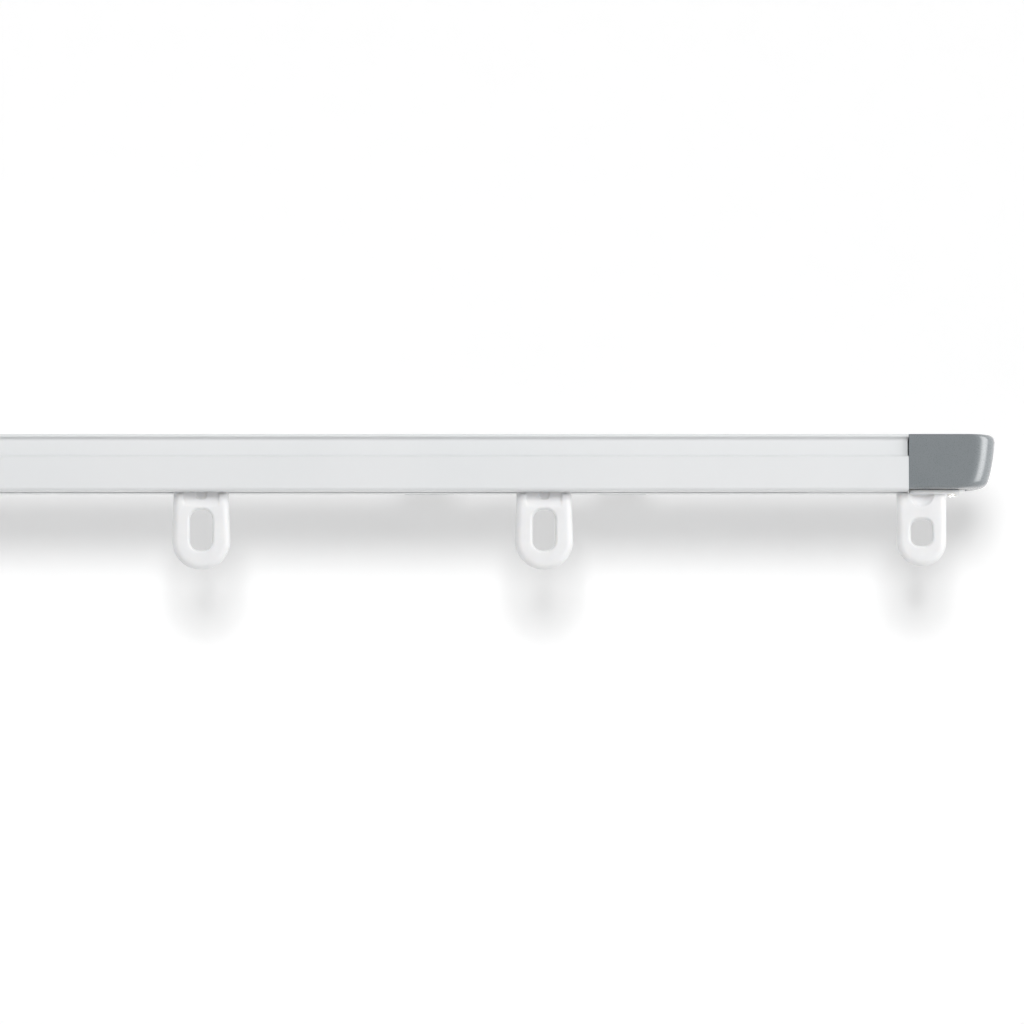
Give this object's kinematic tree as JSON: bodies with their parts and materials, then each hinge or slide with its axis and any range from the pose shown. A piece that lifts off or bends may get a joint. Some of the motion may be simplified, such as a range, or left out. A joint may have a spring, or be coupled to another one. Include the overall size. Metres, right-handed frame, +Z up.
{
  "type": "curtain track",
  "caption": "Slim wall-mounted curtain track with sliding eye gliders, an eyed stop and a moulded cap at each end, and cam-lock wall brackets behind it.",
  "frame": {"origin": "on the wall plane, at the rail's mid-length and mid-height", "axes": "+X along the rail to the right end, +Y into the wall, +Z up; the show face looks towards -Y"},
  "size_m": [0.6424, 0.0515, 0.033],
  "materials": {
    "rail_white": "white powder coat, satin",
    "nylon_white": "moulded white nylon, soft sheen",
    "cap_grey": "moulded grey plastic, satin",
    "bracket_white": "white enamel on bent steel",
    "zinc_steel": "bright zinc plate"
  },
  "bodies": {
    "track": {"track_profile": "rail_white", "end_cap_left": "cap_grey", "end_cap_right": "cap_grey", "end_stop_left": "nylon_white", "end_stop_right": "nylon_white", "stop_screw_left": "zinc_steel", "stop_screw_right": "zinc_steel", "bracket_left": "bracket_white", "bracket_right": "bracket_white", "wall_screw_left_1": "zinc_steel", "wall_screw_left_2": "zinc_steel", "wall_screw_right_1": "zinc_steel", "wall_screw_right_2": "zinc_steel"},
    "glider_1": {"glider_1": "nylon_white"},
    "glider_2": {"glider_2": "nylon_white"},
    "glider_3": {"glider_3": "nylon_white"},
    "glider_4": {"glider_4": "nylon_white"},
    "glider_5": {"glider_5": "nylon_white"},
    "glider_6": {"glider_6": "nylon_white"},
    "cam_left": {"cam_stud_left": "zinc_steel", "cam_washer_left": "zinc_steel", "cam_lever_left": "zinc_steel"},
    "cam_right": {"cam_stud_right": "zinc_steel", "cam_washer_right": "zinc_steel", "cam_lever_right": "zinc_steel"}
  },
  "joints": [
    {"name": "glider_1_run", "type": "slide", "parent": "track", "child": "glider_1", "axis": [1, 0, 0], "range_m": [-0.057, 0.069]},
    {"name": "glider_2_run", "type": "slide", "parent": "track", "child": "glider_2", "axis": [1, 0, 0], "range_m": [-0.069, 0.069]},
    {"name": "glider_3_run", "type": "slide", "parent": "track", "child": "glider_3", "axis": [1, 0, 0], "range_m": [-0.069, 0.069]},
    {"name": "glider_4_run", "type": "slide", "parent": "track", "child": "glider_4", "axis": [1, 0, 0], "range_m": [-0.069, 0.069]},
    {"name": "glider_5_run", "type": "slide", "parent": "track", "child": "glider_5", "axis": [1, 0, 0], "range_m": [-0.069, 0.069]},
    {"name": "glider_6_run", "type": "slide", "parent": "track", "child": "glider_6", "axis": [1, 0, 0], "range_m": [-0.069, 0.057]},
    {"name": "cam_left_turn", "type": "hinge", "parent": "track", "child": "cam_left", "pos_m": [-0.2, -0.011, 0.0029], "axis": [0, 1, 0], "range_deg": [0, 90]},
    {"name": "cam_right_turn", "type": "hinge", "parent": "track", "child": "cam_right", "pos_m": [0.2, -0.011, 0.0029], "axis": [0, 1, 0], "range_deg": [0, 90]}
  ]
}
